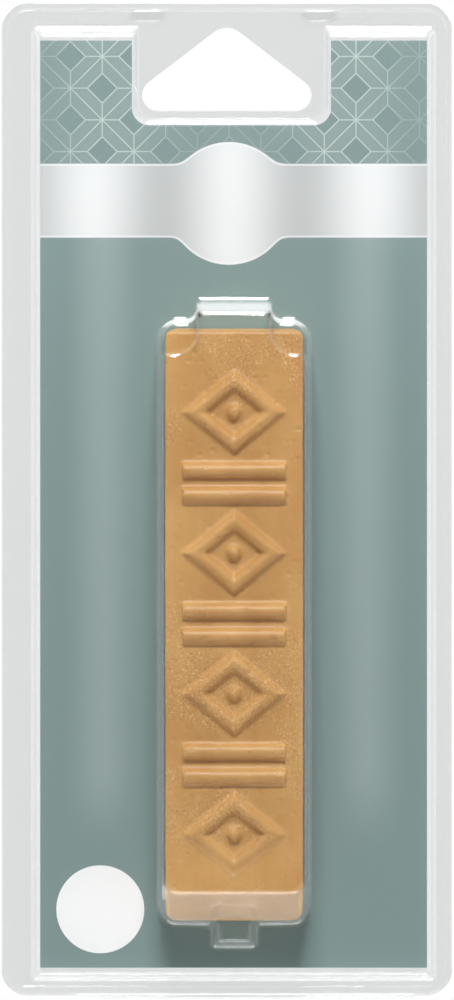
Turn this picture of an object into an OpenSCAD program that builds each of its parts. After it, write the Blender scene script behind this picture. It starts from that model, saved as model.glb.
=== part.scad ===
// Bar of hard filler wax in a hanging clear clamshell pack with a printed card.
// Pieces are drawn in plan, with X to the right, Y up and Z forward out of the card. The stand
// module then sets the plan upright, with +Z up and the front facing -Y. The origin is where a
// peg bears at the top of the hang hole, on the plane where the two shells meet.

/* [Pack] */
// Width of the pack
pack_w = 85.5; // [80:0.5:100]
// Height of the pack, from the fold at the bottom to the top edge
pack_h = 189.3; // [187:0.1:215]
// Radius of the pack's corners
corner_r = 5; // [3:0.5:7]
// Thickness of the clear sheet in the flanges and the card pocket
sheet = 0.45; // [0.3:0.05:0.6]
// Gap between the two flanges
flange_gap = 0.1; // [0.05:0.05:0.2]

/* [Rim] */
// Width of the raised rim along the sides
rim_side = 1.05; // [0.8:0.05:1.5]
// Width of the raised rim along the top and bottom
rim_end = 1.7; // [1.2:0.1:2.2]
// Height of the rim above the flange
rim_rise = 0.5; // [0.3:0.1:0.8]

/* [Hang hole] */
// Width of the hang hole
hole_w = 32.2; // [29:0.1:33]
// Height of the hang hole
hole_h = 15.8; // [14.5:0.1:16]
// Distance from the pack's top edge to the hang hole
hole_drop = 4.9; // [4.5:0.1:6]
// Radius of the hang hole's two lower corners
hole_corner_r = 3.05; // [2.5:0.05:3.5]
// Radius at the top of the hang hole
hole_apex_r = 4.15; // [3.5:0.05:5]

/* [Card] */
// Width of the card
card_w = 73.4; // [70:0.1:75]
// Height of the card
card_h = 176; // [160:0.5:177]
// Thickness of the card
card_t = 0.4; // [0.3:0.05:0.5]
// Distance from the pack's top edge to the card
card_drop = 7.4; // [7:0.1:9]
// How far the card sits to the right of the pack's middle
card_shift = 1.3; // [0:0.1:1.5]
// Width of the card's notch round the hang hole
notch_w = 37.8; // [37:0.1:42]
// Depth of the card's notch
notch_h = 16.1; // [15.5:0.1:20]
// Radius of the notch's corners
notch_r = 3.3; // [2.5:0.1:4]
// How far the notch sits to the right of the pack's middle
notch_shift = 0.9; // [0:0.1:1]

/* [Card pocket] */
// Depth of the pocket behind its front face
pocket_depth = 2; // [1.8:0.1:3]
// Sideways slope of the pocket's outer walls
wall_run = 1.3; // [0.8:0.1:1.6]
// Sideways slope of the pocket's walls round the notch
notch_run = 0.7; // [0.5:0.1:1]
// Gap between the card and the pocket's sides
card_side_gap = 0.15; // [0.1:0.05:0.3]
// Gap between the card and the pocket's ends
card_end_gap = 0.9; // [0.5:0.1:1]
// Gap between the card and the pocket's front face
card_front_gap = 0.4; // [0.3:0.05:0.6]

/* [Wax bar] */
// Width of the bar
bar_w = 26; // [20:0.1:30]
// Length of the bar along its back
bar_l = 112.6; // [90:0.1:140]
// Thickness of the bar without its relief
bar_t = 17.2; // [10:0.1:20]
// Radius of the bar's corners
bar_r = 2.4; // [1.5:0.1:3]
// Distance from the pack's bottom edge up to the bar
bar_rise = 14.7; // [14.5:0.1:30]
// How far the bar sits to the right of the pack's middle
bar_shift = 1.4; // [0:0.1:2]
// How far the sloped foot end runs along the bar
foot_run = 6.2; // [3:0.1:8]
// How far the top end leans back
top_run = 1; // [0.5:0.1:2]
// Gap between the bar and the card
bar_back_gap = 0.3; // [0.2:0.05:0.6]

/* [Relief] */
// Radius of the half-round beads
bead_r = 1.45; // [1:0.05:1.6]
// Width of the relief
relief_w = 19.4; // [17:0.1:21]
// Height of one lozenge
lozenge_h = 15.6; // [12:0.1:15.8]
// Distance between the two bars of a pair
pair_gap = 4.7; // [4:0.1:5]
// Clear distance between one figure and the next
figure_gap = 1.6; // [0.5:0.1:1.8]
// Distance from the bar's top end to the relief
relief_drop = 8.4; // [6:0.1:12]
// Least distance from the sloped foot end up to the relief
relief_rise = 3; // [1:0.1:20]

/* [Bubble] */
// Thickness of the drawn sheet round the bar
bubble_wall = 0.3; // [0.2:0.05:0.45]
// Gap between the bar and the bubble's sides
bar_side_gap = 0.2; // [0.15:0.05:0.4]
// Gap between the bar and the bubble's ends
bar_end_gap = 0.35; // [0.3:0.05:0.5]
// Gap between the relief and the bubble's front
bar_front_gap = 0.3; // [0.2:0.05:0.6]
// How far the bubble's walls spread towards the card
draft_run = 1.1; // [0.6:0.1:1.4]
// Width of the tab at the bubble's top
tab_w = 13.5; // [10:0.1:16]
// Height of the tab above the bubble's shoulders, at the card
tab_h = 3.7; // [3.2:0.1:6]
// How far the tab's top wall leans back
tab_run = 2.7; // [1:0.1:2.8]
// Radius of the flares where the tab meets the shoulders
flare_r = 2.6; // [1.5:0.1:3]
// Height of the pads at the bubble's upper corners
pad_h = 5.4; // [4.5:0.1:7]
// Radius of each pad's inner corner
pad_r = 4.4; // [3:0.1:5]
// Width of the small tab under the foot, at the card
heel_w = 8.3; // [6:0.1:12]
// Length of the small tab under the foot
heel_l = 4.1; // [3:0.1:5]
// Height of the small tab above the card pocket
heel_rise = 3; // [1:0.1:4]
// Radius of the small tab's corners
heel_r = 1.3; // [0.8:0.1:1.5]

/* [Closure and hinge] */
// Length of each closing lug
lug_l = 6; // [4:0.5:8]
// Width of each closing lug
lug_w = 1.2; // [0.8:0.1:1.5]
// Height of each closing lug above the rear flange
lug_rise = 0.5; // [0.3:0.05:0.6]
// Distance from the pack's top edge to the lugs
lug_drop = 2.6; // [2.4:0.1:3]
// Distance between the middles of the lugs
lug_pitch = 32.6; // [26:0.1:50]
// Clearance round each lug in its socket
lug_gap = 0.1; // [0.05:0.05:0.15]
// Width of the folded web
fold_w = 64; // [40:1:70]
// How far the folded web sits to the right of the pack's middle
fold_shift = 3.5; // [0:0.5:4]
// Outer radius of the fold
fold_r = 0.55; // [0.5:0.05:0.8]
// Thickness of the folded web
fold_wall = 0.35; // [0.2:0.05:0.4]
// Running gap between the fold and the front flange
fold_gap = 0.05; // [0.03:0.01:0.1]

/* [Label] */
// Radius of the round label
label_r = 8.35; // [6:0.05:9]
// Thickness of the label
label_t = 0.1; // [0.08:0.01:0.15]
// Distance from the card's left edge to the label's middle
label_in = 11.4; // [10:0.1:13]
// Distance from the card's bottom edge to the label's middle
label_up = 11.1; // [10:0.1:20]

/* [Hidden] */
$fn = 64;
hull_fn = 32;
arc_steps = 16;
// Every cut runs this far past what it cuts.
over = 1;
// What carries a hull's outline is this thick.
skin = 0.01;

clear_sheet = [0.86, 0.9, 0.92, 0.45];

// Heights in plan
top_y = hole_drop;
bottom_y = top_y - pack_h;
fold_y = bottom_y + fold_r;
flange_low_y = fold_y + fold_gap;
flange_h = top_y - flange_low_y;
flange_y = (top_y + flange_low_y) / 2;
card_top_y = top_y - card_drop;
card_y = card_top_y - card_h / 2;
bar_foot_y = bottom_y + bar_rise;
bar_top_y = bar_foot_y + bar_l;
lug_y = top_y - lug_drop;

// Depths, forward of the plane where the shells meet
flange_back = flange_gap / 2;
flange_face = flange_back + sheet;
pocket_inside = flange_back + pocket_depth;
pocket_face = pocket_inside + sheet;
card_face = pocket_inside - card_front_gap;
card_back = card_face - card_t;
panel_inside = card_back - sheet;
bar_back = card_face + bar_back_gap;
bar_face = bar_back + bar_t;
pad_inside = bar_face + bar_front_gap;
bubble_inside = pad_inside + bead_r;
// The bubble and the small tab are rooted halfway through the pocket's sheet.
bubble_root = pocket_inside + sheet / 2;

// Slopes, as sideways run for each unit of depth
foot_slope = foot_run / bar_t;
top_slope = top_run / bar_t;

// The pocket's wall is this thick sideways, seen square to the sheet.
pocket_wall = sheet * (sqrt(1 + pow(wall_run / pocket_depth, 2)) - wall_run / pocket_depth);
notch_wall = sheet * (sqrt(1 + pow(notch_run / pocket_depth, 2)) - notch_run / pocket_depth);

// Sets a piece drawn in plan upright.
module stand() {
  rotate([90, 0, 0]) children();
}

// Rounded rectangle in the middle of the plan.
module rounded(w, h, r) {
  square([w - 2 * r, h], center = true);
  square([w, h - 2 * r], center = true);
  for (x = [-1, 1], y = [-1, 1])
    translate([x * (w / 2 - r), y * (h / 2 - r)]) circle(r);
}

// Straight slot with round ends.
module slot(l, w) {
  square([l - w, w], center = true);
  for (x = [-1, 1])
    translate([x * (l - w) / 2, 0]) circle(d = w);
}

// Four-sided block from z0 to z1, whose sides slope by run_x and run_y.
module frustum(w, h, run_x, run_y, z0, z1) {
  intersection() {
    translate([0, h / 2 + run_y + over, 0]) rotate([90, 0, 0])
      linear_extrude(h + 2 * run_y + 2 * over)
        polygon([[-w / 2 - run_x, z0], [w / 2 + run_x, z0], [w / 2, z1], [-w / 2, z1]]);
    translate([-w / 2 - run_x - over, 0, 0]) rotate([90, 0, 90])
      linear_extrude(w + 2 * run_x + 2 * over)
        polygon([[-h / 2 - run_y, z0], [h / 2 + run_y, z0], [h / 2, z1], [-h / 2, z1]]);
  }
}

// Rounded block from z0 to z1 that is wider at z0 by the run on every side.
module drawn_block(w, h, r, run, z0, z1) {
  hull() {
    translate([0, 0, z0]) linear_extrude(skin) rounded(w + 2 * run, h + 2 * run, r + run, $fn = hull_fn);
    translate([0, 0, z1 - skin]) linear_extrude(skin) rounded(w, h, r, $fn = hull_fn);
  }
}

// Side profile of the bar, grown by a gap at both ends, from z0 to z1.
module bar_profile(gap, z0, z1) {
  foot = bar_foot_y - gap * sqrt(1 + pow(foot_slope, 2));
  head = bar_top_y + gap * sqrt(1 + pow(top_slope, 2));
  polygon([
    [foot + (z0 - bar_back) * foot_slope, z0],
    [head - (z0 - bar_back) * top_slope, z0],
    [head - (z1 - bar_back) * top_slope, z1],
    [foot + (z1 - bar_back) * foot_slope, z1]
  ]);
}

// Points on an arc from one angle to another.
function arc(centre, r, from, to) = [
  for (i = [0 : arc_steps])
    let (a = from + (to - from) * i / arc_steps) centre + r * [cos(a), sin(a)]
];

// Hang hole: one outline of three arcs, joined by the straight lines that touch them both.
module hang_plan() {
  low = [hole_w / 2 - hole_corner_r, hole_corner_r - hole_h];
  high = [0, -hole_apex_r];
  lean = atan2(high[1] - low[1], low[0]) + asin((hole_apex_r - hole_corner_r) / norm(high - low));
  polygon(concat(
    arc(low, hole_corner_r, -90, 90 - lean),
    arc(high, hole_apex_r, 90 - lean, 90 + lean),
    arc([-low[0], low[1]], hole_corner_r, 90 + lean, 270)
  ));
}

module pack_plan(side = 0, end = 0) {
  translate([0, flange_y])
    rounded(pack_w - 2 * side, flange_h - 2 * end, corner_r - side);
}

// Notch block round the hang hole, open at the top, for a piece whose edge lies inside the
// card's notch by inset at z1 and by inset plus run at z0. It runs past both by the skin.
module notch_block(inset, run, z0, z1) {
  w = notch_w - 2 * inset;
  h = notch_h + card_end_gap + wall_run - inset + notch_r + over;
  low_y = card_top_y - notch_h + inset;
  translate([notch_shift, low_y + h / 2, -skin]) hull() {
    translate([0, 0, z1]) linear_extrude(2 * skin) rounded(w, h, notch_r, $fn = hull_fn);
    translate([0, run, z0]) linear_extrude(2 * skin) rounded(w - 2 * run, h, notch_r, $fn = hull_fn);
  }
}

// The card pocket's form: the inside of the front shell at grow 0, or its outside.
module pocket_form(wall, notch_side, z0, z1) {
  run_share = (z1 - z0) / pocket_depth;
  difference() {
    translate([card_shift, card_y, 0])
      frustum(
        card_w + 2 * (card_side_gap + wall), card_h + 2 * (card_end_gap + wall),
        wall_run * run_share, wall_run * run_share, z0, z1
      );
    notch_block(card_side_gap + notch_side, notch_run * run_share, z0, z1);
  }
}

// The bubble's form: the inside of the sheet at wall 0, or its outside.
module bubble_form(wall, z0) {
  z1 = bubble_inside + wall;
  deep = z1 - z0;
  gap = bar_side_gap + wall;
  end_gap = bar_end_gap + wall;
  run = draft_run * deep / bubble_inside;
  w = bar_w + 2 * gap;
  h = bar_l + 2 * end_gap;
  difference() {
    intersection() {
      translate([bar_shift, bar_top_y - bar_l / 2, 0])
        drawn_block(w, h, bar_r + gap, run, z0, z1);
      translate([bar_shift - w, 0, 0]) rotate([90, 0, 90]) linear_extrude(2 * w)
        bubble_profile(end_gap, run, z0, z1);
    }
    pad_cuts(wall);
  }
  tab_form(wall, z0);
}

// Side profile of the bubble: upright over the shoulders, sloped at the foot.
module bubble_profile(end_gap, run, z0, z1) {
  foot = bar_foot_y - end_gap * sqrt(1 + pow(foot_slope, 2));
  head = bar_top_y + end_gap + run + over;
  polygon([
    [foot + (z0 - bar_back) * foot_slope, z0],
    [head, z0],
    [head, z1],
    [foot + (z1 - bar_back) * foot_slope, z1]
  ]);
}

// What the pads take off the bubble's upper corners.
module pad_cuts(wall) {
  low_y = bar_top_y - pad_h + wall;
  side = tab_w / 2 + wall;
  for (m = [0, 1])
    translate([bar_shift, 0, pad_inside + wall]) mirror([m, 0]) linear_extrude(bead_r + over)
      translate([side + bar_w / 2, low_y + pad_h])
        rounded(bar_w, 2 * pad_h, pad_r - wall);
}

// The tab over the bubble's shoulders, with a flare each side.
module tab_form(wall, z0) {
  z1 = bubble_inside + wall;
  shoulder_y = bar_top_y + bar_end_gap + draft_run;
  top_in = shoulder_y + tab_h - tab_run;
  low_in = bar_top_y - pad_h - pad_r;
  w = tab_w + 2 * wall;
  // The flares stand where the bubble's shoulders are still upright.
  flare_y = shoulder_y - draft_run + wall;
  translate([bar_shift, 0, 0]) {
    translate([-w / 2, 0, 0]) rotate([90, 0, 90]) linear_extrude(w)
      polygon([[low_in, z0], [top_in + tab_run + wall, z0], [top_in + wall, z1], [low_in, z1]]);
    for (m = [0, 1]) mirror([m, 0]) translate([w / 2 - skin, flare_y - skin, z0])
      linear_extrude(pad_inside + wall - z0) difference() {
        square(flare_r - wall);
        translate([flare_r - wall, flare_r - wall]) circle(flare_r - wall);
      }
  }
}

// The small tab under the bubble's foot.
module heel_form(wall, z0) {
  z1 = pocket_inside + heel_rise + wall;
  shift_y = bar_foot_y - heel_l / 2 - bar_end_gap;
  translate([bar_shift, shift_y, 0])
    drawn_block(heel_w - 2 * heel_r + 2 * wall, heel_l + 2 * heel_r, heel_r, heel_r, z0, z1);
}

module lug_plan(gap) {
  for (x = [-1, 1])
    translate([card_shift + x * lug_pitch / 2, lug_y]) slot(lug_l + 2 * gap, lug_w + 2 * gap);
}

// Room for the fold along the bottom edge of a flange.
module fold_room(r) {
  translate([fold_shift, fold_y, 0]) rotate([0, 90, 0])
    cylinder(h = fold_w + 2 * fold_gap, r = r, center = true);
}

module front_shell() {
  color(clear_sheet) stand() difference() {
    union() {
      translate([0, 0, flange_back]) linear_extrude(sheet) pack_plan();
      translate([0, 0, flange_back]) linear_extrude(sheet + rim_rise) difference() {
        pack_plan();
        pack_plan(rim_side, rim_end);
      }
      pocket_form(pocket_wall, notch_wall, flange_back, pocket_face);
      bubble_form(bubble_wall, bubble_root);
      heel_form(bubble_wall, bubble_root);
      translate([0, 0, flange_back]) linear_extrude(lug_rise + lug_gap + sheet)
        lug_plan(lug_gap + sheet);
    }
    pocket_form(0, 0, 0, pocket_inside);
    bubble_form(0, flange_back);
    heel_form(0, flange_back);
    translate([0, 0, -over]) linear_extrude(over + lug_rise + lug_gap - flange_back)
      lug_plan(lug_gap);
    translate([0, 0, -over]) linear_extrude(pocket_face + over) hang_plan();
    fold_room(fold_r + fold_gap);
  }
}

module rear_shell() {
  panel_w = card_w - 2 * card_side_gap;
  panel_h = card_h - 2 * card_side_gap;
  run = notch_run;
  color(clear_sheet) stand() difference() {
    union() {
      translate([0, 0, -flange_face]) linear_extrude(sheet) pack_plan();
      difference() {
        translate([card_shift, card_y, 0])
          frustum(panel_w, panel_h, run, run, -flange_back - skin, card_back);
        notch_block(-card_side_gap, notch_run, -flange_back - 2 * skin, card_back + skin);
      }
      translate([0, 0, -flange_face]) linear_extrude(sheet + lug_rise) lug_plan(0);
    }
    difference() {
      translate([card_shift, card_y, 0])
        frustum(panel_w - 2 * sheet, panel_h - 2 * sheet, run, run, -flange_face - skin, panel_inside);
      notch_block(-card_side_gap - sheet, notch_run, -flange_face - 2 * skin, panel_inside + skin);
    }
    translate([0, 0, -flange_face - over]) linear_extrude(flange_face + 2 * over) hang_plan();
    fold_room(fold_r);
  }
}

module living_hinge() {
  color(clear_sheet) stand() translate([fold_shift, fold_y, 0]) difference() {
    rotate([0, 90, 0]) cylinder(h = fold_w, r = fold_r, center = true);
    rotate([0, 90, 0]) cylinder(h = fold_w + 2 * over, r = fold_r - fold_wall, center = true);
    translate([0, fold_r, 0]) cube([fold_w + 2 * over, 2 * fold_r, flange_gap], center = true);
  }
}

module printed_card() {
  color([0.51, 0.59, 0.58]) stand() translate([0, 0, card_back]) linear_extrude(card_t) difference() {
    translate([card_shift, card_y]) square([card_w, card_h], center = true);
    translate([notch_shift, card_top_y]) rounded(notch_w, 2 * notch_h, notch_r);
  }
}

module shade_label() {
  color([0.97, 0.97, 0.96]) stand()
    translate([card_shift - card_w / 2 + label_in, card_y - card_h / 2 + label_up, card_face])
      cylinder(h = label_t, r = label_r);
}

// Half-round bead on the bar's face, from one point to another.
module bead(from, to) {
  way = to - from;
  translate([from[0], from[1], bar_face]) rotate([0, 0, atan2(way[1], way[0])])
    rotate([90, 0, 90]) linear_extrude(norm(way)) intersection() {
      circle(bead_r);
      translate([-bead_r, 0]) square([2 * bead_r, bead_r]);
    }
}

// Half a ball on the bar's face.
module pellet() {
  translate([0, 0, bar_face]) rotate_extrude() intersection() {
    circle(bead_r);
    square(bead_r);
  }
}

// Lozenge of four mitred beads round a pellet, in the middle of the plan.
module lozenge() {
  // The beads' middle lines lie inside the outline by their radius, square to each side.
  slant = norm([relief_w, lozenge_h]);
  a = relief_w / 2 - bead_r * slant / lozenge_h;
  b = lozenge_h / 2 - bead_r * slant / relief_w;
  for (x = [0, 1], y = [0, 1]) mirror([x, 0, 0]) mirror([0, y, 0]) intersection() {
    bead([2 * a, -b], [-a, 2 * b]);
    translate([0, 0, bar_face]) cube([relief_w, lozenge_h, bead_r]);
  }
  pellet();
}

// Two bars side by side across the middle of the plan.
module bar_pair() {
  for (y = [-1, 1])
    translate([0, y * pair_gap / 2, 0]) bead([-relief_w / 2, 0], [relief_w / 2, 0]);
}

module relief() {
  pair_h = pair_gap + 2 * bead_r;
  step = lozenge_h + pair_h + 2 * figure_gap;
  first_y = bar_top_y - relief_drop - lozenge_h / 2;
  room = bar_l - foot_run - relief_drop - relief_rise;
  lozenges = floor((room + pair_h + 2 * figure_gap) / step);
  for (i = [0 : 1 : lozenges - 1])
    translate([bar_shift, first_y - i * step, 0]) lozenge();
  for (i = [0 : 1 : lozenges - 2])
    translate([bar_shift, first_y - (i + 0.5) * step, 0]) bar_pair();
}

module wax_stick() {
  color([0.8, 0.62, 0.4]) stand() {
    intersection() {
      translate([bar_shift, bar_top_y - bar_l / 2, bar_back]) linear_extrude(bar_t)
        rounded(bar_w, bar_l, bar_r);
      translate([bar_shift - bar_w, 0, 0]) rotate([90, 0, 90]) linear_extrude(2 * bar_w)
        bar_profile(0, bar_back - over, bar_face + over);
    }
    relief();
  }
}

front_shell();
rear_shell();
living_hinge();
printed_card();
shade_label();
wax_stick();
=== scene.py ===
import math

import bmesh
import bpy
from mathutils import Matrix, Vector, geometry, noise


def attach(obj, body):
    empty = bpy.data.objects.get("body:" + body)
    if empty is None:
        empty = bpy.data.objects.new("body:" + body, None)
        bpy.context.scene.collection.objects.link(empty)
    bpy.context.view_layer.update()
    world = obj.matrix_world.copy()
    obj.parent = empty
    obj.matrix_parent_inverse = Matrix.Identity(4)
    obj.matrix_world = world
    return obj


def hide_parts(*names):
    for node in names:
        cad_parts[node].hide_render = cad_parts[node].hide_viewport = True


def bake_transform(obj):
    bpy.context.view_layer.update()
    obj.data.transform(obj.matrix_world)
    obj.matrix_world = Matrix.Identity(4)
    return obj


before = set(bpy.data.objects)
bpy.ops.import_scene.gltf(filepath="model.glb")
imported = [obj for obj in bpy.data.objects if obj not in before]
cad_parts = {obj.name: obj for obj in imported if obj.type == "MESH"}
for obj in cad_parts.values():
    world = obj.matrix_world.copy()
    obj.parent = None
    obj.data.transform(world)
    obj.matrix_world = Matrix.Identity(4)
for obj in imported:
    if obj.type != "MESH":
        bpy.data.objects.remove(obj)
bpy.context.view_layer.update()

MM = 0.001
MM_IN_A_METRE = 1000.0

# Sizes in millimetres, as in the CAD. Plan coordinates are x to the right and z up, with the
# depth d forward out of the plane where the two shells meet.
PACK_W, CORNER_R = 85.5, 5.0
TOP_Z, LOW_Z = 4.9, -183.8
FLANGE_BACK, FLANGE_FACE = 0.05, 0.5
RIM_SIDE, RIM_END, RIM_RISE = 1.05, 1.7, 0.5
POCKET_INSIDE, POCKET_FACE = 2.05, 2.5
CARD_SHIFT, CARD_Z, CARD_W, CARD_H = 1.3, -90.5, 73.4, 176.0
CARD_FACE, CARD_T = 1.65, 0.4
CARD_SIDE_GAP, CARD_END_GAP = 0.15, 0.9
NOTCH_SHIFT, NOTCH_W, NOTCH_LOW, NOTCH_R = 0.9, 37.8, -18.6, 3.3
WALL_RUN, NOTCH_RUN = 1.3, 0.7
BAR_SHIFT, BAR_W, BAR_TOP, BAR_FOOT, BAR_R = 1.4, 26.0, -57.1, -169.7, 2.4
BAR_BACK, BAR_FACE = 1.95, 19.15
FOOT_RUN = 6.2
BUBBLE_WALL, SIDE_GAP, END_GAP, DRAFT = 0.3, 0.2, 0.35, 1.1
PAD_INSIDE, BUBBLE_INSIDE = 19.45, 20.9
TAB_W, TAB_H, TAB_RUN, FLARE_R = 13.5, 3.7, 2.7, 2.6
PAD_H, PAD_R = 5.4, 4.4
HEEL_W, HEEL_L, HEEL_RISE, HEEL_R = 8.3, 4.1, 3.0, 1.3
HOLE_W, HOLE_H, HOLE_CORNER_R, HOLE_APEX_R = 32.2, 15.8, 3.05, 4.15
LUG_L, LUG_W, LUG_Z, LUG_PITCH = 6.0, 1.2, 2.3, 32.6
FOLD_Z, FOLD_R, FOLD_WALL = -183.85, 0.55, 0.35
FOLD_X0, FOLD_X1 = -28.5, 35.5

# Sizes in millimetres that are used only here. The border is a flat strip beside each bend,
# which keeps the shading of the flats even.
BORDER = 0.15
# How far a sloped wall's front face stands outside its back face in plan, round the pocket and
# round the notch, where the wall is steeper.
WALL_OUTSET, NOTCH_OUTSET = 0.244, 0.319
# How much further out the hang hole's edge is in front than behind.
HOLE_SPLAY = 0.16
# How wide the bends along the pocket's walls are, in front and behind.
BEND_FRONT, BEND_BACK = 0.35, 0.2
# Radii of corners in plan.
POCKET_R_FRONT, POCKET_R_BACK, NOTCH_MOUTH_R = 0.9, 0.6, 0.5
PAD_SIDE_R, TAB_TOP_R, HEEL_ROOT_R, HEEL_END_R = 0.9, 1.0, 1.5, 0.9
LEAST_RIM_R, CARD_CORNER_R = 1.0, 0.12
# What is added to the length of the heel, the small tab under the bubble's foot.
HEEL_EXTRA = 0.2

# The bends of the clear sheet, from the flange forward. Each row is a move of the outline,
# outwards where it is positive, and then a rise over the flat behind the bend, or a drop from
# the flat in front of it.
BUBBLE_FOOT_BEND = ((0.6 + BORDER, 0.0), (0.6, 0.0), (0.22, 0.1), (0.05, 0.3), (0.0, 0.7))
HEEL_TOP_BEND = ((0.0, 0.5), (-0.08, 0.2), (-0.25, 0.04), (-0.45, 0.0))
PAD_EDGE_BEND = ((0.0, 0.6), (-0.08, 0.25), (-0.3, 0.06), (-0.6, 0.0), (-0.6 - BORDER, 0.0))
PAD_STEP_BEND = ((0.3 + BORDER, 0.0), (0.3, 0.0), (0.1, 0.06), (0.0, 0.25))
BUBBLE_TOP_BEND = ((0.0, 0.55), (-0.06, 0.28), (-0.22, 0.08), (-0.5, 0.0), (-0.5 - BORDER, 0.0))
# Where the bubble's sides have a ring between two bends, as shares of the way to the pads.
BUBBLE_SIDE_SHARES = (0.35, 0.65)
# In the pocket's bends the outline moves inwards, by a share of the bend's width and a length.
POCKET_FOOT_BEND = ((-1.0, -BORDER, 0.0), (-1.0, 0.0, 0.0), (-0.1, 0.0, 0.09), (0.0, 0.25, 0.36))
POCKET_TOP_BEND = ((0.0, -0.25, 0.4), (0.0, 0.05, 0.1), (1.0, 0.0, 0.0), (1.0, BORDER, 0.0))
# In the rim's bends it moves inwards, and the drop is from the rim's peak. The inner bend has a
# move at the sides and one at the ends, past the rim's inner edge.
RIM_OUTER_BEND = ((0.14, 0.25), (0.24, 0.08), (0.42, 0.0))
RIM_INNER_BEND = (
    (-0.42, -0.6, 0.0), (-0.22, -0.28, 0.07), (-0.04, -0.04, RIM_RISE - 0.08),
    (0.15, 0.15, RIM_RISE), (0.15 + BORDER, 0.15 + BORDER, RIM_RISE),
)

# The sheet over a lug: how much longer and wider than the lug it is, and its dome's rows, with
# a move outwards and a rise over the flange. A hair keeps it off the flange, and leaves its
# round ends a short straight.
LUG_SPREAD, HAIR = 1.1, 0.01
LUG_DOME = ((0.1, HAIR), (0.0, 0.12), (-0.12, 0.34), (-0.35, 0.5), (-0.62, 0.57))

# The card's softened edge, and the clearance between its back and the rear panel.
CARD_SOFT, CARD_CLEAR = 0.03, 0.02

# Steps along a round corner, along a corner of the rim and along an arc of the hole.
CORNER_STEPS, RIM_STEPS, HOLE_STEPS = 8, 12, 12
# Steps round the fold, columns along it, and where it starts and how far it turns.
FOLD_STEPS, FOLD_COLUMNS = 28, 8
FOLD_START_DEG, FOLD_TURN_DEG = -8, 196

# Points this close together become one, and edges sharper than the angle stay sharp.
MERGE_GAP, SHARP_DEG = 0.002, 40.0
# The kind of fill that stops at the outermost edges, and its tolerance.
INSIDE_THE_EDGES, FILL_TOLERANCE = 1, 1e-5

# The wax bar's skin, with lengths in millimetres: voxels and melted edges, a slow wave with a
# ripple on it, and pits where their noise is high. The whole skin is set in a little.
VOXEL, MELT_SHARE, MELT_ROUNDS = 0.345, 0.5, 2
WAVE_SCALE, WAVE_H = 0.09, 0.05
RIPPLE_SCALE, RIPPLE_H, RIPPLE_AT = 0.5, 0.025, Vector((7, 1, 3))
PIT_SCALE, PIT_AT = 1.25, Vector((2, 9, 4))
PIT_START, PIT_STEEPNESS, PIT_DEPTH = 0.46, 1.1, 0.22
SKIN_INSET = 0.06

# The card's print, in millimetres. The trellis has a painted sheen between two distances from the
# middle.
TRELLIS_PITCH, TRELLIS_X, TRELLIS_Z = 6.02, -23.63, -5.53
TRELLIS_LOW = (-25.9, -25.8)
PAINTED_SHINE_STARTS, PAINTED_SHINE_ENDS = (6.0, 20.0), (25.0, 36.0)
BAND_Z, BAND_HALF, BAND_BLEND = -32.91, 7.03, 2.2
BULGE_X, BULGE_Z, BULGE_R = 0.43, -33.43, 11.65
# The foil's painted sheen: where its wave is brightest, and the wave's pitch.
PAINTED_SHEEN_X, PAINTED_SHEEN_PITCH = -25.3, 26.3
# Two painted reflections of the lamps: lighter streaks down the card's ground, where they lie and
# fade.
PAINTED_REFLECTION_XS, PAINTED_REFLECTION_HALF = (-23.5, 26.5), 8.0
PAINTED_REFLECTION_LOW, PAINTED_REFLECTION_TOP = (-158.0, -140.0), (-40.0, -39.0)

# Colours as levels from 0 to 255.
# The middle colour of this row is a painted reflection of the lamps on the ground, not print.
GROUND, PAINTED_REFLECTION, TRELLIS_LINE = (129, 151, 149), (150, 168, 167), (208, 218, 215)
# The foil's two colours are the dark and bright ends of its painted sheen.
FOIL_PAINTED_SHADE, FOIL_PAINTED_SHEEN = (198, 200, 200), (241, 242, 242)
BOARD = (196, 194, 188)
WAX_DEEP, WAX_PALE, WAX_SPECK = (190, 140, 77), (210, 164, 100), (140, 92, 50)
WAX_GRAIN, WAX_CHIP, WAX_PORE = (222, 180, 126), (236, 200, 150), (150, 100, 56)

# Colours as linear light from 0 to 1, with 1 last for opaque.
WHITE = (1.0, 1.0, 1.0, 1.0)
# The white that the sheet scatters: its haze, and the painted light on its steep bends.
SHEET_EDGE_ON, SHEET_HAZE_AND_BEND_LIGHT = (0.58, 0.61, 0.62, 1.0), (0.90, 0.93, 0.94, 1.0)
FOIL_HEM = (0.96, 0.97, 0.97, 1.0)
PAPER_DULL, PAPER_CLEAN = (0.93, 0.93, 0.925, 1.0), (0.98, 0.98, 0.975, 1.0)
FLOOR_GREY = (0.86, 0.86, 0.86, 1.0)

# The curve from levels to linear light: a straight toe, and a power above it.
LEVELS, TOE_END, TOE_SLOPE, CURVE_LIFT, CURVE_POWER = 255.0, 0.04045, 12.92, 0.055, 2.4

# The stage, in metres, with the sensor in millimetres. The camera looks level at the pack from
# straight in front.
CAMERA_X, CAMERA_Z, CAMERA_AWAY = 0.00005, -0.08972, 1.5
SEEN_H, SENSOR_H = 0.190, 36.0
MIDDLE, NEAR_FOOT = (0.0, 0.0, -0.09), (0.0, 0.0, -0.16)
FLOOR_Z, FLOOR_HALF = -0.72, 6.0
# Each lamp's name, place, aim, size and power in watts.
LAMPS = (
    ("key", (0.0, -0.62, 0.56), MIDDLE, (0.24, 0.10), 9.0),
    ("top", (0.0, -0.22, 0.62), MIDDLE, (0.22, 0.06), 1.3),
    ("low_fill", (0.0, -0.12, -0.62), NEAR_FOOT, (0.60, 0.20), 2.4),
    ("back_fill", (0.0, 0.95, 0.30), MIDDLE, (0.80, 0.30), 7.0),
)
PANEL_AWAY, PANEL_Y, PANEL_SIZE, PANEL_POWER = 0.85, -0.16, (0.90, 1.20), 2.4
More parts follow.
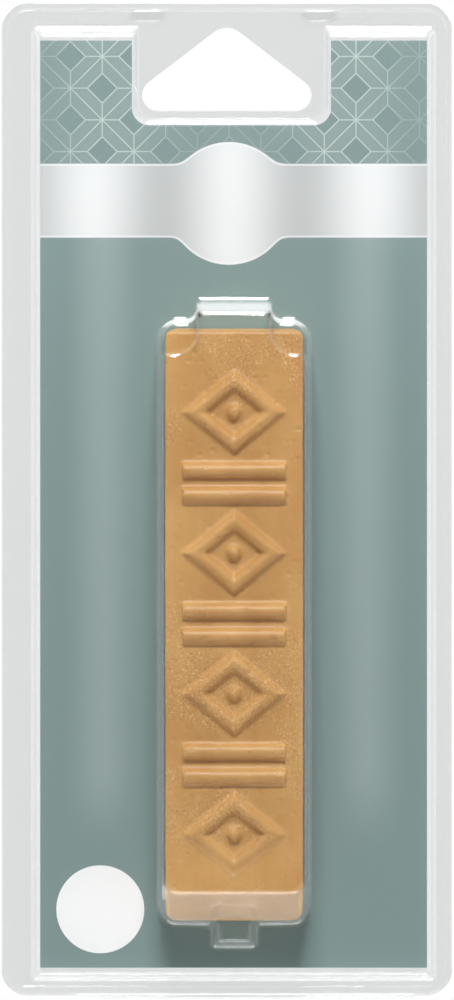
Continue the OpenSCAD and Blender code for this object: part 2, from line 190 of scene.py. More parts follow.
# The strength of the world's light on the object and to the camera. What the sheet mirrors
# grows from the least to full strength over this range of the direction's y.
ROOM_LIGHT, SEEN_LIGHT = 0.14, 1.0
MIRRORED_LEAST, MIRRORED_FROM, MIRRORED_TO = 0.08, -0.85, -0.15
FLOOR_GLOW, FLOOR_GLOW_SHARE = 0.92, 0.6


def point(x, d, z):
    return Vector((x * MM, -d * MM, z * MM))


def outline(corners, steps=CORNER_STEPS):
    """Closed outline with a rounded arc of steps + 1 points at each (x, z, radius) corner."""
    pts = []
    n = len(corners)
    for i, (x, z, r) in enumerate(corners):
        here = Vector((x, z))
        back = (Vector(corners[i - 1][:2]) - here).normalized()
        ahead = (Vector(corners[(i + 1) % n][:2]) - here).normalized()
        half = back.angle(ahead) / 2
        reach = r / math.tan(half)
        a, b = here + back * reach, here + ahead * reach
        mid = here + (back + ahead).normalized() * (r / math.sin(half))
        va, vb = a - mid, b - mid
        turn = math.atan2(va.x * vb.y - va.y * vb.x, va.dot(vb))
        for k in range(steps + 1):
            t = turn * k / steps
            c, s = math.cos(t), math.sin(t)
            pts.append((mid.x + va.x * c - va.y * s, mid.y + va.x * s + va.y * c))
    return pts


def rect(w, z0, z1, r, shift=0.0):
    x0, x1 = shift - w / 2, shift + w / 2
    return [(x0, z0, r), (x1, z0, r), (x1, z1, r), (x0, z1, r)]


def crossings(place, plan, edges):
    """How many of the edges a ray from the place towards +x crosses."""
    count = 0
    for i, j in edges:
        a, b = plan[i], plan[j]
        if (a.y > place.y) != (b.y > place.y):
            x = a.x + (b.x - a.x) * (place.y - a.y) / (b.y - a.y)
            count += x > place.x
    return count


class Sheet:
    """A surface built from rings of points joined by strips, with flat fills between rings."""

    def __init__(self):
        self.bm = bmesh.new()

    def ring(self, pts, d):
        return [self.bm.verts.new(point(x, d, z)) for x, z in pts]

    def strip(self, a, b):
        """Faces between two closed rings."""
        self.band(a + a[:1], b + b[:1])

    def band(self, a, b):
        """Faces between two open rows of points."""
        for i in range(len(a) - 1):
            self.bm.faces.new((a[i], a[i + 1], b[i + 1], b[i]))

    def stack(self, rings):
        for a, b in zip(rings, rings[1:]):
            self.strip(a, b)

    def fill(self, *rings):
        """Triangles over the flat area inside the first ring and outside the others."""
        corners = [v for ring in rings for v in ring]
        plan = [Vector((v.co.x, v.co.z)) / MM for v in corners]
        edges = []
        for ring in rings:
            start = len(edges)
            edges += [(start + i, start + (i + 1) % len(ring)) for i in range(len(ring))]
        filled = geometry.delaunay_2d_cdt(plan, edges, [], INSIDE_THE_EDGES, FILL_TOLERANCE)
        faces, sources = filled[2], filled[3]
        for face in faces:
            picks = [sources[k][0] for k in face]
            middle = sum((plan[k] for k in picks), Vector((0.0, 0.0))) / len(picks)
            # An odd count of crossings is inside the first ring and outside the others.
            if crossings(middle, plan, edges) % 2:
                self.bm.faces.new([corners[k] for k in picks])

    def object(self, name):
        bmesh.ops.remove_doubles(self.bm, verts=self.bm.verts, dist=MERGE_GAP * MM)
        bmesh.ops.recalc_face_normals(self.bm, faces=self.bm.faces)
        mesh = bpy.data.meshes.new(name)
        self.bm.to_mesh(mesh)
        self.bm.free()
        mesh.shade_smooth()
        mesh.set_sharp_from_angle(angle=math.radians(SHARP_DEG))
        ob = bpy.data.objects.new(name, mesh)
        bpy.context.scene.collection.objects.link(ob)
        weighted = ob.modifiers.new("flat_faces_stay_flat", "WEIGHTED_NORMAL")
        weighted.keep_sharp = True
        return ob


def hole_outline(grow):
    """The hang hole, a triangle with round corners, grown by the given length."""
    low = Vector((HOLE_W / 2 - HOLE_CORNER_R, HOLE_CORNER_R - HOLE_H))
    high = Vector((0.0, -HOLE_APEX_R))
    way = high - low
    spread = math.asin((HOLE_APEX_R - HOLE_CORNER_R) / way.length)
    lean = math.degrees(math.atan2(way.y, low.x) + spread)

    def arc(cx, cz, r, a, b):
        angles = [math.radians(a + (b - a) * k / HOLE_STEPS) for k in range(HOLE_STEPS + 1)]
        return [(cx + (r + grow) * math.cos(t), cz + (r + grow) * math.sin(t)) for t in angles]

    return (
        arc(low.x, low.y, HOLE_CORNER_R, -90, 90 - lean)
        + arc(high.x, high.y, HOLE_APEX_R, 90 - lean, 90 + lean)
        + arc(-low.x, low.y, HOLE_CORNER_R, 90 + lean, 270)
    )


def pocket_outline(inset, wall):
    """The card pocket at its base, or moved in by the inset. The wall is 0 at the sheet's back."""
    share = inset / WALL_RUN
    side = WALL_OUTSET if wall else 0.0
    half_w = CARD_W / 2 + CARD_SIDE_GAP + side + WALL_RUN - inset
    half_h = CARD_H / 2 + CARD_END_GAP + side + WALL_RUN - inset
    notch_wall = NOTCH_OUTSET if wall else 0.0
    notch_inset = CARD_SIDE_GAP + notch_wall + NOTCH_RUN * (1 - share)
    half_n = NOTCH_W / 2 - notch_inset
    low_n = NOTCH_LOW + notch_inset
    x0, x1 = CARD_SHIFT - half_w, CARD_SHIFT + half_w
    z0, z1 = CARD_Z - half_h, CARD_Z + half_h
    n0, n1 = NOTCH_SHIFT - half_n, NOTCH_SHIFT + half_n
    # Outside the pocket the corners grow with the outline, so that its rings don't cross.
    r = (POCKET_R_FRONT if wall else POCKET_R_BACK) + max(-inset, 0.0)
    return outline([
        (x0, z0, r), (x1, z0, r), (x1, z1, r), (n1, z1, NOTCH_MOUTH_R),
        (n1, low_n, NOTCH_R), (n0, low_n, NOTCH_R), (n0, z1, NOTCH_MOUTH_R), (x0, z1, r),
    ])


def bubble_outline(d, wall, grow=0.0, front=False, grow_pads=None, heel=None):
    """The bubble at the depth d, grown sideways, and its pads and tab by grow_pads where that is
    given. The front outline is the one above the two pads. The heel is how far the small tab
    under the foot is grown, and where it is None the tab is flat against the foot."""
    pads = grow if grow_pads is None else grow_pads
    deep = BUBBLE_INSIDE + wall
    run = DRAFT * (deep - d) / BUBBLE_INSIDE
    half = BAR_W / 2 + SIDE_GAP + wall + run
    slope = FOOT_RUN / (BAR_FACE - BAR_BACK)
    foot = BAR_FOOT - (END_GAP + wall) * math.hypot(1, slope) + (d - BAR_BACK) * slope
    shoulder = BAR_TOP + END_GAP + wall + run
    tab_share = (deep - d) / (deep - POCKET_INSIDE)
    tab_top = BAR_TOP + END_GAP + DRAFT + TAB_H - TAB_RUN + wall + TAB_RUN * tab_share
    tab = TAB_W / 2 + wall
    corner = BAR_R + SIDE_GAP + wall + run
    if front:
        z_side, r_side, r_in = BAR_TOP - PAD_H + wall + pads, PAD_SIDE_R, PAD_R - wall
    else:
        z_side, r_side, r_in = shoulder + pads, corner, FLARE_R - wall
    x0, x1 = BAR_SHIFT - half - grow, BAR_SHIFT + half + grow
    t0, t1 = BAR_SHIFT - tab - pads, BAR_SHIFT + tab + pads
    foot -= grow
    extra = heel or 0.0
    heel_share = max((POCKET_INSIDE + HEEL_RISE + wall - d) / HEEL_RISE, 0.0)
    lean = HEEL_R * (1 - heel_share)
    heel_half = HEEL_W / 2 - lean + wall + extra
    heel_low = BAR_FOOT - END_GAP - HEEL_L - HEEL_EXTRA + lean - wall - extra
    h0, h1 = BAR_SHIFT - heel_half, BAR_SHIFT + heel_half
    root_r, end_r = HEEL_ROOT_R - wall - extra, HEEL_END_R + wall + extra
    pts = outline([
        (x0, foot, corner), (h0, foot, root_r), (h0, heel_low, end_r), (h1, heel_low, end_r),
        (h1, foot, root_r), (x1, foot, corner), (x1, z_side, r_side), (t1, z_side, r_in),
        (t1, tab_top + grow, TAB_TOP_R), (t0, tab_top + grow, TAB_TOP_R), (t0, z_side, r_in),
        (x0, z_side, r_side),
    ])
    return pts if heel is not None else [(x, max(z, foot)) for x, z in pts]


def pocket_rings(sheet, wall, face, base):
    """The card pocket's walls, from the flange at the base up to the pocket's face."""
    bend = BEND_FRONT if wall else BEND_BACK
    rings = []
    for share, move, rise in POCKET_FOOT_BEND:
        rings.append(sheet.ring(pocket_outline(share * bend + move, wall), base + rise))
    for share, move, drop in POCKET_TOP_BEND:
        inset = WALL_RUN + share * bend + move
        rings.append(sheet.ring(pocket_outline(inset, wall), face - drop))
    return rings


def bubble_rings(sheet, wall, face):
    """The bubble's walls, from the pocket's face up to the bubble's own flat front."""
    rings = []

    def add(d, **form):
        rings.append(sheet.ring(bubble_outline(d, wall, **form), d))

    for move, rise in BUBBLE_FOOT_BEND:
        add(face + rise, grow=move, heel=move)
    heel_top = POCKET_INSIDE + HEEL_RISE + wall
    for move, drop in HEEL_TOP_BEND:
        add(heel_top - drop, heel=move)
    add(heel_top)
    pad = PAD_INSIDE + wall
    for share in BUBBLE_SIDE_SHARES:
        add(face + (pad - face) * share)
    for move, drop in PAD_EDGE_BEND:
        add(pad - drop, grow_pads=move)
    for move, rise in PAD_STEP_BEND:
        add(pad + rise, front=True, grow_pads=move)
    top = BUBBLE_INSIDE + wall
    for move, drop in BUBBLE_TOP_BEND:
        add(top - drop, grow=move, front=True, grow_pads=move)
    return rings


def shell_side(sheet, wall, face, base):
    """One side of the front shell's sheet: its hole, its pocket and its bubble with the tabs."""
    hole = sheet.ring(hole_outline(HOLE_SPLAY if wall else 0.0), base)
    pocket = pocket_rings(sheet, wall, face, base)
    sheet.stack(pocket)
    bubble = bubble_rings(sheet, wall, face)
    sheet.stack(bubble)
    sheet.fill(bubble[-1])
    return hole, pocket, bubble


def pack_edge(side, end):
    """The pack's outline, moved in at its sides and ends."""
    r = max(CORNER_R - side, LEAST_RIM_R)
    return outline(rect(PACK_W - 2 * side, LOW_Z + end, TOP_Z - end, r), RIM_STEPS)


def rim_rings(sheet):
    """The raised rim, from the pack's edge at the back over the rim to the flange's face."""
    peak = FLANGE_FACE + RIM_RISE
    rings = [sheet.ring(pack_edge(0.0, 0.0), FLANGE_BACK)]
    for move, drop in RIM_OUTER_BEND:
        rings.append(sheet.ring(pack_edge(move, move), peak - drop))
    for side, end, drop in RIM_INNER_BEND:
        rings.append(sheet.ring(pack_edge(RIM_SIDE + side, RIM_END + end), peak - drop))
    return rings


def build_front_shell():
    """The front shell: both sides of its sheet, joined by the rim and by the hang hole's edge."""
    sheet = Sheet()
    outer = shell_side(sheet, BUBBLE_WALL, POCKET_FACE, FLANGE_FACE)
    inner = shell_side(sheet, 0.0, POCKET_INSIDE, FLANGE_BACK)
    rim = rim_rings(sheet)
    sheet.stack(rim)
    for edge_ring, (hole, pocket, bubble) in ((rim[-1], outer), (rim[0], inner)):
        sheet.fill(edge_ring, hole, pocket[0])
        sheet.fill(pocket[-1], bubble[0])
    sheet.strip(outer[0], inner[0])
    return sheet.object("front_shell_sheet")


def card_outline(inset):
    """The card with its notch, moved in by the inset."""
    x0, x1 = CARD_SHIFT - CARD_W / 2 + inset, CARD_SHIFT + CARD_W / 2 - inset
    z0, z1 = CARD_Z - CARD_H / 2 + inset, CARD_Z + CARD_H / 2 - inset
    n0, n1 = NOTCH_SHIFT - NOTCH_W / 2 - inset, NOTCH_SHIFT + NOTCH_W / 2 + inset
    low_n = NOTCH_LOW - inset
    r = CARD_CORNER_R
    return outline([
        (x0, z0, r), (x1, z0, r), (x1, z1, r), (n1, z1, r),
        (n1, low_n, NOTCH_R), (n0, low_n, NOTCH_R), (n0, z1, r), (x0, z1, r),
    ])


def build_card():
    """The card, with a small clearance behind it so that no two faces coincide."""
    sheet = Sheet()
    back = CARD_FACE - CARD_T + CARD_CLEAR
    levels = (
        (CARD_SOFT, back), (0.0, back + CARD_SOFT),
        (0.0, CARD_FACE - CARD_SOFT), (CARD_SOFT, CARD_FACE),
    )
    rings = [sheet.ring(card_outline(inset), d) for inset, d in levels]
    sheet.stack(rings)
    sheet.fill(rings[0])
    sheet.fill(rings[-1])
    return sheet.object("card")


def build_lugs():
    """The two closing lugs near the top edge, as they show in front: plain pressed domes."""
    sheet = Sheet()
    for side in (-1, 1):
        middle_x = CARD_SHIFT + side * LUG_PITCH / 2
        rings = []
        for grow, rise in LUG_DOME:
            w, h = LUG_L + LUG_SPREAD + 2 * grow, LUG_W + LUG_SPREAD + 2 * grow
            corners = rect(w, LUG_Z - h / 2, LUG_Z + h / 2, h / 2 - HAIR, middle_x)
            rings.append(sheet.ring(outline(corners), FLANGE_FACE + rise))
        sheet.stack(rings)
        sheet.fill(rings[0])
        sheet.fill(rings[-1])
    return sheet.object("front_shell_lugs")


def fold_rows():
    """Sine and cosine along the fold: from behind, under the axis, to the front."""
    rows = []
    for k in range(FOLD_STEPS + 1):
        t = math.radians(FOLD_START_DEG + FOLD_TURN_DEG * k / FOLD_STEPS)
        rows.append((math.sin(t), -math.cos(t)))
    return rows


def build_fold():
    """The folded web, from the rear flange's edge round to the front flange's edge."""
    sheet = Sheet()
    xs = [FOLD_X0 + (FOLD_X1 - FOLD_X0) * i / FOLD_COLUMNS for i in range(FOLD_COLUMNS + 1)]
    sides = []
    for r in (FOLD_R, FOLD_R - FOLD_WALL):
        sides.append([
            sheet.ring([(x, FOLD_Z - r * s) for x in xs], r * c) for s, c in fold_rows()
        ])
    outer, inner = sides
    for side in sides:
        for a, b in zip(side, side[1:]):
            sheet.band(a, b)
    for k in (0, -1):
        sheet.band(outer[k], inner[k])
    for i in (0, -1):
        sheet.band([row[i] for row in outer], [row[i] for row in inner])
    return sheet.object("fold_web")


def build_bar():
    """The cast bar: the CAD's form with its edges melted round, a wavy skin and pits."""
    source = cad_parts["wax_stick"]
    bar = bpy.data.objects.new("wax_bar", source.data.copy())
    bpy.context.scene.collection.objects.link(bar)
    remesh = bar.modifiers.new("voxels", "REMESH")
    remesh.mode = "VOXEL"
    remesh.voxel_size = VOXEL * MM
    smooth = bar.modifiers.new("melt", "SMOOTH")
    smooth.factor = MELT_SHARE
    smooth.iterations = MELT_ROUNDS
    melted = bar.evaluated_get(bpy.context.evaluated_depsgraph_get())
    mesh = bpy.data.meshes.new_from_object(melted)
    bar.modifiers.clear()
    bar.data = mesh
    mesh.name = "wax_bar"
    places = [v.co.copy() for v in mesh.vertices]
    normals = [n.vector.copy() for n in mesh.vertex_normals]
    flat = []
    for place, normal in zip(places, normals):
        p = place / MM
        wave = noise.noise(p * WAVE_SCALE) * WAVE_H
        ripple = noise.noise(p * RIPPLE_SCALE + RIPPLE_AT) * RIPPLE_H
        pit = noise.noise(p * PIT_SCALE + PIT_AT)
        sink = min(max(0.0, pit - PIT_START) * PIT_STEEPNESS, PIT_DEPTH)
        flat.extend(place + normal * (wave + ripple - SKIN_INSET - sink) * MM)
    mesh.vertices.foreach_set("co", flat)
    mesh.update()
    mesh.shade_smooth()
    return bar


class Value:
    """A number in a node graph. Sums and products of values build the graph's math nodes."""

    def __init__(self, graph, socket):
        self.graph, self.socket = graph, socket

    def op(self, kind, *others):
        node = self.graph.new("ShaderNodeMath")
        node.operation = kind
        for i, item in enumerate((self,) + others):
            self.graph.put(node.inputs[i], item)
        return Value(self.graph, node.outputs[0])

    def __add__(self, other):
        return self.op("ADD", other)

    def __sub__(self, other):
        return self.op("SUBTRACT", other)

    def __mul__(self, other):
        return self.op("MULTIPLY", other)

    def __truediv__(self, other):
        return self.op("DIVIDE", other)

    def __abs__(self):
        return self.op("ABSOLUTE")

    def least(self, other):
        return self.op("MINIMUM", other)

    def most(self, other):
        return self.op("MAXIMUM", other)

    def soft_min(self, other, reach):
        return self.op("SMOOTH_MIN", other, reach)

    def off_round(self):
        """How far the value is from the nearest whole number, with its sign."""
        return self - self.op("ROUND")

    def step(self, low, high):
        """0 below low, 1 above high, smooth between."""
        node = self.graph.new("ShaderNodeMapRange")
        node.interpolation_type = "SMOOTHSTEP"
        self.graph.put(node.inputs["Value"], self)
        node.inputs["From Min"].default_value = low
        node.inputs["From Max"].default_value = high
        return Value(self.graph, node.outputs[0])

    def flip(self):
        return self.op("MULTIPLY_ADD", -1.0, 1.0)


class Graph:
    """A material's node graph."""

    # The colour sockets of a mix node.
    MIX_A, MIX_B, MIX_RESULT = 6, 7, 2

    def __init__(self, name):
        self.material = bpy.data.materials.new(name)
        self.material.use_nodes = True
        self.tree = self.material.node_tree
        self.tree.nodes.clear()
        self.links = self.tree.links
        self.out = self.new("ShaderNodeOutputMaterial")

    def new(self, kind, **inputs):
        node = self.tree.nodes.new(kind)
        for key, item in inputs.items():
            self.put(node.inputs[key.replace("_", " ")], item)
        return node

    def put(self, socket, item):
        if isinstance(item, Value):
            self.links.new(item.socket, socket)
        elif hasattr(item, "is_output"):
            self.links.new(item, socket)
        else:
            socket.default_value = item

    def value(self, kind, output, **inputs):
        return Value(self, self.new(kind, **inputs).outputs[output])

    def millimetres(self):
        coords = self.new("ShaderNodeTexCoord")
        split = self.new("ShaderNodeSeparateXYZ")
        self.links.new(coords.outputs["Object"], split.inputs[0])
        return [Value(self, s) * MM_IN_A_METRE for s in split.outputs]

    def noise(self, scale, detail=3.0, rough=0.5, stretch=(1, 1, 1)):
        coords = self.new("ShaderNodeTexCoord")
        mapping = self.new("ShaderNodeMapping", Scale=stretch)
        self.links.new(coords.outputs["Object"], mapping.inputs[0])
        node = self.new("ShaderNodeTexNoise", Scale=scale, Detail=detail, Roughness=rough)
        self.links.new(mapping.outputs[0], node.inputs["Vector"])
        return Value(self, node.outputs["Fac"])

    def mix(self, share, a, b):
        """A mix of two colours, with the share of the second one."""
        node = self.new("ShaderNodeMix")
        node.data_type = "RGBA"
        self.put(node.inputs["Factor"], share)
        self.put(node.inputs[self.MIX_A], a)
        self.put(node.inputs[self.MIX_B], b)
        return node.outputs[self.MIX_RESULT]

    def layer(self, share, under, over):
        """A mix of two shaders, with the share of the second one."""
        node = self.new("ShaderNodeMixShader")
        self.put(node.inputs[0], share)
        self.links.new(under.outputs[0], node.inputs[1])
        self.links.new(over.outputs[0], node.inputs[2])
        return node

    def bump(self, height, strength, distance_mm):
        distance = distance_mm * MM
        bump = self.new("ShaderNodeBump", Height=height, Strength=strength, Distance=distance)
        return bump.outputs[0]

    def finish(self, shader):
        self.links.new(shader.outputs[0], self.out.inputs["Surface"])
        return self.material


def linear(level):
    share = level / LEVELS
    if share <= TOE_END:
        return share / TOE_SLOPE
    return ((share + CURVE_LIFT) / (1 + CURVE_LIFT)) ** CURVE_POWER


def srgb(levels):
    """A colour for a shader from its three levels."""
    return tuple(linear(level) for level in levels) + (1.0,)


def painted_highlight_over_the_tab(g):
    """1 over the top of the bubble and its tab, else 0: there more white is scattered, a painted
    highlight for the light from above.
    """
    x, _, z = g.millimetres()
    soft, over_tab, beside_bar = 0.5, 0.9, 2.0
    low, high, half = BAR_TOP, BAR_TOP + TAB_H + over_tab, BAR_W / 2 + beside_bar
    above = z.step(low - soft, low + soft)
    below = z.step(high - soft, high + soft).flip()
    beside = abs(x - BAR_SHIFT).step(half - soft, half + soft).flip()
    return above * below * beside


def clear_sheet(name, through_share, haze_share):
    """Thin clear sheet: most light goes straight through, less where it is seen edge on. The
    through share is what one face passes, and the haze share what it scatters as white does.
    On steep walls more white is scattered, lit by the lamps: painted light for what the bends
    refract and mirror."""
    index, red_loss, uneven_share = 1.5, 0.003, 0.006
    tint_power, bend_light_power = 5.0, 3.0
    bend_light_share, painted_highlight_share = 0.14, 0.42
    g = Graph(name)
    facing = g.value("ShaderNodeLayerWeight", "Facing", Blend=0.5)
    face_on = (through_share - red_loss, through_share, through_share, 1.0)
    tint = g.mix(facing.op("POWER", tint_power), face_on, SHEET_EDGE_ON)
    through = g.new("ShaderNodeBsdfTransparent", Color=tint)
    ripple = g.bump(g.noise(scale=140.0, detail=1.0), strength=0.035, distance_mm=0.05)
    gloss = g.new("ShaderNodeBsdfGlossy", Color=WHITE, Roughness=0.06, Normal=ripple)
    # Straight rays leave through a back face as they came in, so no ray is held inside.
    behind = g.value("ShaderNodeNewGeometry", "Backfacing")
    fresnel = g.value("ShaderNodeFresnel", 0, IOR=behind * (1 / index - index) + index)
    uneven = g.noise(scale=60.0, detail=2.0) * uneven_share
    glossy = g.layer(fresnel + uneven, through, gloss)
    # Diffuse white for the haze, and on steep walls painted light for what the bends refract and
    # mirror.
    haze_and_bend_light = g.new("ShaderNodeBsdfDiffuse", Color=SHEET_HAZE_AND_BEND_LIGHT)
    # Painted highlight: more white over the bubble's top and its tab.
    bend_light_here = painted_highlight_over_the_tab(g) * painted_highlight_share + bend_light_share
    haze_and_bend_light_share = facing.op("POWER", bend_light_power) * bend_light_here + haze_share
    return g.finish(g.layer(haze_and_bend_light_share, glossy, haze_and_bend_light))


def trellis(x, z):
    """The trellis: where its lines are, and how far the lines and tiles lighten the ground, with a
    painted sheen that is brightest between two distances from the middle. It is a checkerboard
    lattice of eight-rayed stars, with a diamond between each four."""
    # The slant turns a change of u + v or u - v into a distance square to the diagonal lines.
    # The diamond's half width is such a change.
    slant, diamond_half = 0.707, 0.473
    ray_from, ray_to = 0.50, 0.54
    line_half, line_fade = 0.07, 0.16
    tile_fade, tile_share = 0.03, 0.16
    shine_gain, least_shine = 0.6, 0.25
    u, v = (x - TRELLIS_X) / TRELLIS_PITCH, (z - TRELLIS_Z) / TRELLIS_PITCH
    s, t = (u + v) / 2.0, (u - v) / 2.0
    s_star, t_star = s.off_round() * 2.0, t.off_round() * 2.0
    s_odd, t_odd = (s - 0.5).off_round() * 2.0, (t - 0.5).off_round() * 2.0
    off_diamond = abs(s_odd).most(abs(t_odd)) - diamond_half
    diagonals = abs(s_star).least(abs(t_star)) * slant
    diamond = abs(off_diamond) * slant
    du, dv = abs((s_star + t_star) / 2.0), abs((s_star - t_star) / 2.0)
    rays = (dv + du.step(ray_from, ray_to)).least(du + dv.step(ray_from, ray_to))
    near = diagonals.least(diamond).least(rays) * TRELLIS_PITCH
    line = near.step(line_half, line_fade).flip()
    # Painted sheen: the lines and tiles are brighter between two distances from the middle.
    lit = abs(x).step(*PAINTED_SHINE_STARTS) * abs(x).step(*PAINTED_SHINE_ENDS).flip()
    painted_shine = lit * shine_gain + least_shine
    tile = off_diamond.step(0.0, tile_fade) * painted_shine * tile_share
    return line, (line * painted_shine).most(tile)


def foil_band(g, x, z):
    """The silver band with its round bulge: where it is, and its colour with a pale hem. Its
    silver darkens and brightens in waves across the band, a painted sheen.
    """
    ink_edge = 0.04
    hem_in, hem_half, hem_fade, hem_share = 0.25, 0.08, 0.2, 0.7
    band = abs(z - BAND_Z) - BAND_HALF
    dx, dz = x - BULGE_X, z - BULGE_Z
    bulge = (dx * dx + dz * dz).op("SQRT") - BULGE_R
    shape = band.soft_min(bulge, BAND_BLEND)
    inside = shape.step(-ink_edge, ink_edge).flip()
    # Painted sheen: the silver brightens and darkens in waves across the band.
    painted_sheen = ((x - PAINTED_SHEEN_X) * (2.0 * math.pi / PAINTED_SHEEN_PITCH)).op("COSINE")
    silver = g.mix(painted_sheen * 0.5 + 0.5, srgb(FOIL_PAINTED_SHADE), srgb(FOIL_PAINTED_SHEEN))
    hem = abs(shape + hem_in).step(hem_half, hem_fade).flip()
    return inside, g.mix(hem * hem_share, silver, FOIL_HEM)


def painted_lamp_reflections(x, z):
    """Two soft lighter streaks down the ground, below the band: painted reflections of the lamps
    in the glossy card.
    """
    left, right = [abs(x - at).step(0.0, PAINTED_REFLECTION_HALF).flip() for at in PAINTED_REFLECTION_XS]
    length = z.step(*PAINTED_REFLECTION_LOW) * z.step(*PAINTED_REFLECTION_TOP).flip()
    return (left + right) * length


def card_print():
    """Grey-green print with a line trellis at the top and a silver band with a round bulge.
    Painted lamp reflections lighten the ground in two streaks, and the trellis and the band carry
    a painted sheen.
    """
    print_depth, ink_fade = 0.05, 0.01
    foil_metal = 0.12
    g = Graph("card_print")
    x, y, z = g.millimetres()
    line, lit = trellis(x, z)
    above_band = z.step(*TRELLIS_LOW)
    in_band, silver = foil_band(g, x, z)
    # Painted reflections of the lamps lighten the ground in two streaks.
    ground = g.mix(painted_lamp_reflections(x, z), srgb(GROUND), srgb(PAINTED_REFLECTION))
    # The trellis lines lighten the ground above the band, with their painted sheen.
    ground = g.mix(lit * above_band, ground, srgb(TRELLIS_LINE))
    on_front = (y + (CARD_FACE - print_depth)).step(-ink_fade, 0.0).flip()
    colour = g.mix(on_front, srgb(BOARD), g.mix(in_band, ground, silver))
    foil = in_band.most(line * above_band) * on_front
    fibre = g.noise(scale=900.0, detail=4.0, rough=0.7)
    return g.finish(g.new(
        "ShaderNodeBsdfPrincipled",
        Base_Color=colour,
        Metallic=foil * foil_metal,
        Roughness=fibre * 0.12 + 0.42,
        Normal=g.bump(fibre, strength=0.12, distance_mm=0.02),
    ))


def label_paper():
    """White paper with a fine fibre."""
    g = Graph("label_paper")
    fibre = g.noise(scale=1400.0, detail=5.0, rough=0.7)
    return g.finish(g.new(
        "ShaderNodeBsdfPrincipled",
        Base_Color=g.mix(fibre, PAPER_DULL, PAPER_CLEAN),
        Roughness=0.6,
        Normal=g.bump(fibre, strength=0.15, distance_mm=0.02),
    ))


def wax():
    """Cast hard wax: mottled, with darker specks, patches of fine chips and pores, and a satin
    skin."""
    mottle_share, cloud_share = 0.6, 0.4
    speck_share, grain_share, chip_share, pore_share = 0.35, 0.25, 0.65, 0.5
    g = Graph("wax")
    mottle = g.noise(scale=130.0, detail=4.0, rough=0.55, stretch=(1.0, 1.0, 0.55))
    cloud = g.noise(scale=38.0, detail=2.0, stretch=(1.0, 1.0, 0.4))
    speck = g.noise(scale=1500.0, detail=3.0, rough=0.6)
    grain = g.noise(scale=620.0, detail=5.0, rough=0.7)
    fine = g.noise(scale=2400.0, detail=2.0, rough=0.6)
    patch = g.noise(scale=70.0, detail=2.0).step(0.47, 0.60)
    pale = (mottle * mottle_share + cloud * cloud_share).step(0.28, 0.72)
    chip = fine.step(0.58, 0.68) * patch
    pore = fine.step(0.32, 0.42).flip() * patch
    skin = g.mix(pale, srgb(WAX_DEEP), srgb(WAX_PALE))
    skin = g.mix(speck.step(0.66, 0.74) * speck_share, skin, srgb(WAX_SPECK))
    skin = g.mix(grain.step(0.60, 0.70) * grain_share, skin, srgb(WAX_GRAIN))
    skin = g.mix(chip * chip_share, skin, srgb(WAX_CHIP))
    skin = g.mix(pore * pore_share, skin, srgb(WAX_PORE))
    height = grain * (patch * 0.7 + 0.3) + mottle * 0.6 + fine * patch * 0.8
    return g.finish(g.new(
        "ShaderNodeBsdfPrincipled",
        Base_Color=skin,
        Roughness=grain * 0.18 + 0.38,
        Normal=g.bump(height, strength=0.8, distance_mm=0.16),
        Subsurface_Weight=0.12,
        Subsurface_Radius=(1.0, 0.5, 0.2),
        Subsurface_Scale=0.6 * MM,
    ))


def floor_paint():
    """Pale paint. Only to the camera it glows, which whitens the background."""
    g = Graph("floor_paint")
    paint = g.new("ShaderNodeBsdfPrincipled", Base_Color=FLOOR_GREY, Roughness=0.7)
    glow = g.new("ShaderNodeEmission", Color=WHITE, Strength=FLOOR_GLOW)
    seen = g.value("ShaderNodeLightPath", "Is Camera Ray")
    return g.finish(g.layer(seen * FLOOR_GLOW_SHARE, paint, glow))


def dress(ob, material):
    ob.data.materials.clear()
    ob.data.materials.append(material)


def area_light(name, at, aim, size, power):
    data = bpy.data.lights.new(name, "AREA")
    data.shape = "RECTANGLE"
    data.size, data.size_y = size
    data.energy = power
    ob = bpy.data.objects.new(name, data)
    ob.location = at
    ob.rotation_euler = (Vector(aim) - Vector(at)).to_track_quat("-Z", "Y").to_euler()
    ob.visible_camera = False
    bpy.context.scene.collection.objects.link(ob)


def set_camera(scene):
    data = bpy.data.cameras.new("camera")
    data.sensor_fit = "VERTICAL"
    data.sensor_height = SENSOR_H
    data.lens = SENSOR_H * CAMERA_AWAY / SEEN_H
    camera = bpy.data.objects.new("camera", data)
    camera.location = (CAMERA_X, -CAMERA_AWAY, CAMERA_Z)
    camera.rotation_euler = (math.radians(90), 0, 0)
    scene.collection.objects.link(camera)
    scene.camera = camera
    scene.view_settings.view_transform = "Standard"


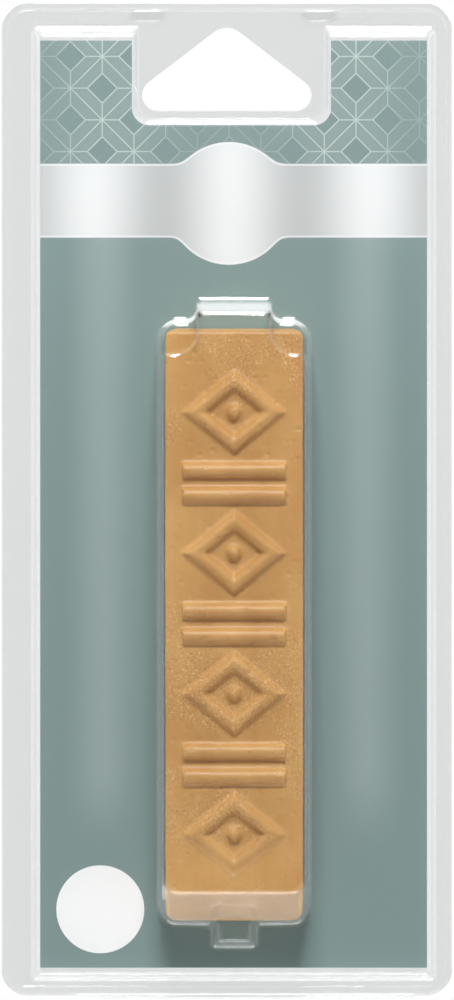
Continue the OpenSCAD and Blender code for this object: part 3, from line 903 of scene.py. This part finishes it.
def set_world(scene):
    """White to the camera and soft on the object. What the clear sheet mirrors has a bright side
    behind the pack and a dark side before it."""
    world = bpy.data.worlds.new("studio")
    scene.world = world
    world.use_nodes = True
    nodes, links = world.node_tree.nodes, world.node_tree.links
    nodes.clear()
    out = nodes.new("ShaderNodeOutputWorld")
    path = nodes.new("ShaderNodeLightPath")

    def background(strength=None):
        node = nodes.new("ShaderNodeBackground")
        node.inputs["Color"].default_value = WHITE
        if strength is not None:
            node.inputs["Strength"].default_value = strength
        return node

    def choose(ray, otherwise, then):
        """The second shader for the kind of ray, and the first for all others."""
        node = nodes.new("ShaderNodeMixShader")
        links.new(path.outputs[ray], node.inputs[0])
        links.new(otherwise.outputs[0], node.inputs[1])
        links.new(then.outputs[0], node.inputs[2])
        return node

    way = nodes.new("ShaderNodeTexCoord")
    split = nodes.new("ShaderNodeSeparateXYZ")
    fade = nodes.new("ShaderNodeMapRange")
    fade.interpolation_type = "SMOOTHSTEP"
    fade.inputs["From Min"].default_value = MIRRORED_FROM
    fade.inputs["From Max"].default_value = MIRRORED_TO
    fade.inputs["To Min"].default_value = MIRRORED_LEAST
    links.new(way.outputs["Generated"], split.inputs[0])
    links.new(split.outputs["Y"], fade.inputs["Value"])
    mirrored = background()
    links.new(fade.outputs[0], mirrored.inputs["Strength"])
    room = choose("Is Glossy Ray", background(ROOM_LIGHT), mirrored)
    links.new(choose("Is Camera Ray", room, background(SEEN_LIGHT)).outputs[0], out.inputs[0])


def set_floor(scene):
    mesh = bpy.data.meshes.new("floor")
    h = FLOOR_HALF
    corners = [(-h, -h, FLOOR_Z), (h, -h, FLOOR_Z), (h, h, FLOOR_Z), (-h, h, FLOOR_Z)]
    mesh.from_pydata(corners, [], [(0, 1, 2, 3)])
    floor = bpy.data.objects.new("floor", mesh)
    scene.collection.objects.link(floor)
    dress(floor, floor_paint())


def set_lamps():
    for lamp in LAMPS:
        area_light(*lamp)
    for side in (-1, 1):
        at = (side * PANEL_AWAY, PANEL_Y, MIDDLE[2])
        area_light("panel", at, MIDDLE, PANEL_SIZE, PANEL_POWER)


set_camera(bpy.context.scene)
set_world(bpy.context.scene)
set_floor(bpy.context.scene)
set_lamps()

clear = clear_sheet("clear_sheet", through_share=0.992, haze_share=0.004)
clear_rear = clear_sheet("clear_sheet_rear", through_share=0.918, haze_share=0.05)
printed = card_print()
paper = label_paper()
wax_material = wax()

shell = build_front_shell()
lugs = build_lugs()
fold = build_fold()
bar = build_bar()
card = build_card()

for piece, material in ((shell, clear), (lugs, clear), (fold, clear_rear)):
    dress(piece, material)
dress(bar, wax_material)
dress(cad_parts["rear_shell"], clear_rear)
dress(card, printed)
dress(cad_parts["shade_label"], paper)

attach(shell, "front")
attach(lugs, "front")
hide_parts("front_shell")
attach(card, "rear")
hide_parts("printed_card")
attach(bar, "stick")
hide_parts("wax_stick")
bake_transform(fold)
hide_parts("living_hinge")
